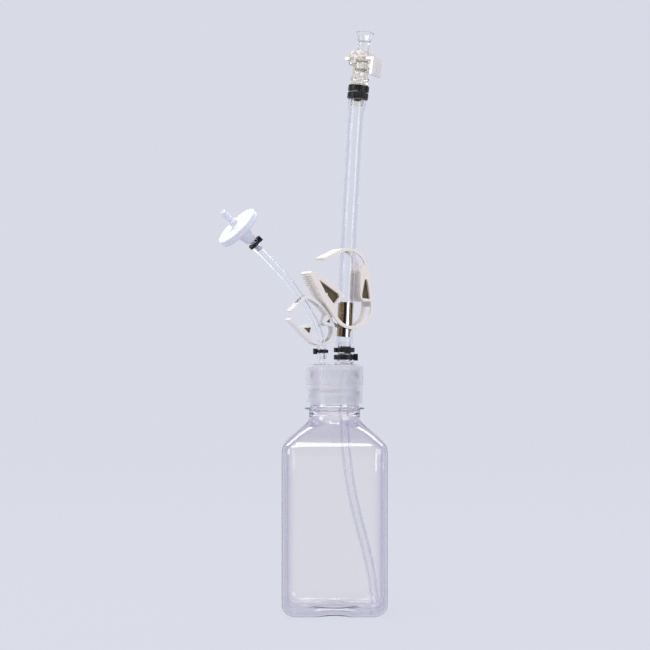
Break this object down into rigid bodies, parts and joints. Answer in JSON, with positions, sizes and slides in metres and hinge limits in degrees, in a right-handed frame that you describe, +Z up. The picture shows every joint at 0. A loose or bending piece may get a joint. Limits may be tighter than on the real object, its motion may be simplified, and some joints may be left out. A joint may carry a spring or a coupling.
{
  "type": "liquid transfer bottle",
  "caption": "Clear square bottle with a ported screw closure, dip tube, clamped transfer tube with a plugged quick coupling, and a clamped vent tube with a disc filter.",
  "frame": {"origin": "middle of the bottle's square footprint, on the surface that it stands on", "axes": "+Z up along the neck's axis, -Y towards the front, square to the bottle's front wall, +X to the right seen from the front"},
  "size_m": [0.1323, 0.0951, 0.4649],
  "materials": {
    "clear_bottle": "clear glossy PETG",
    "milky_closure": "translucent natural polypropylene, fine ribs",
    "silicone_seal": "translucent silicone",
    "clear_moulding": "clear glossy moulding",
    "clear_silicone": "clear silicone tube",
    "clear_tubing": "clear glossy tube",
    "polished_steel": "polished stainless steel",
    "black_nylon": "satin nylon",
    "ivory_plastic": "satin moulded acetal",
    "white_plastic": "satin moulded acetal",
    "filter_housing": "white polypropylene",
    "filter_media": "white membrane",
    "amber_plastic": "clear amber polysulfone",
    "spring_steel": "drawn wire"
  },
  "bodies": {
    "bottle": {"bottle": "clear_bottle"},
    "port_assembly": {"port_insert": "clear_moulding", "closure_gasket": "silicone_seal", "dip_tube": "clear_tubing", "transfer_tube": "clear_silicone", "steel_tube": "polished_steel", "vent_tube": "clear_silicone", "transfer_tie_lower": "black_nylon", "transfer_tie_upper": "black_nylon", "coupling_tie_lower": "black_nylon", "coupling_tie_upper": "black_nylon", "vent_tie": "black_nylon", "filter_tie": "black_nylon", "large_clamp_body": "ivory_plastic", "small_clamp_body": "white_plastic", "filter_inlet_shell": "filter_housing", "filter_outlet_shell": "filter_housing", "filter_membrane": "filter_media", "filter_support": "filter_housing", "coupling_body": "amber_plastic", "latch_spring": "spring_steel"},
    "closure": {"closure_ring": "milky_closure"},
    "large_clamp_arm": {"large_clamp_arm": "ivory_plastic"},
    "small_clamp_arm": {"small_clamp_arm": "white_plastic"},
    "latch": {"latch_plate": "white_plastic"},
    "plug": {"sealing_plug": "clear_moulding", "plug_o_ring": "silicone_seal"}
  },
  "joints": [
    {"name": "closure_lift", "type": "slide", "parent": "bottle", "child": "port_assembly", "axis": [0, 0, 1], "range_m": [0, 0.00634]},
    {"name": "closure_turn", "type": "hinge", "parent": "port_assembly", "child": "closure", "pos_m": [0, 0, 0.1815], "axis": [0, 0, 1], "range_deg": [0, 540]},
    {"name": "large_clamp_close", "type": "hinge", "parent": "port_assembly", "child": "large_clamp_arm", "pos_m": [0.0111, 0.00518, 0.2266], "axis": [-0.4226, 0.9063, 0], "range_deg": [0, 27], "stiffness_Nm_per_rad": 0.8, "deforming": ["transfer_tube"]},
    {"name": "small_clamp_close", "type": "hinge", "parent": "port_assembly", "child": "small_clamp_arm", "pos_m": [-0.01278, -0.00596, 0.2137], "axis": [-0.4226, 0.9063, 0], "range_deg": [0, 19], "stiffness_Nm_per_rad": 0.4, "deforming": ["vent_tube"]},
    {"name": "latch_press", "type": "slide", "parent": "port_assembly", "child": "latch", "axis": [-0.8132, 0.5784, 0.0648], "range_m": [0, 0.002], "stiffness_N_per_m": 1200, "deforming": ["latch_spring"]},
    {"name": "plug_pull", "type": "slide", "parent": "port_assembly", "child": "plug", "axis": [0.1183, 0.0552, 0.9914], "range_m": [0, 0.02]}
  ],
  "couplings": [
    {"joint": "closure_turn", "follows": "closure_lift", "rad_per_m": 1485.4}
  ]
}
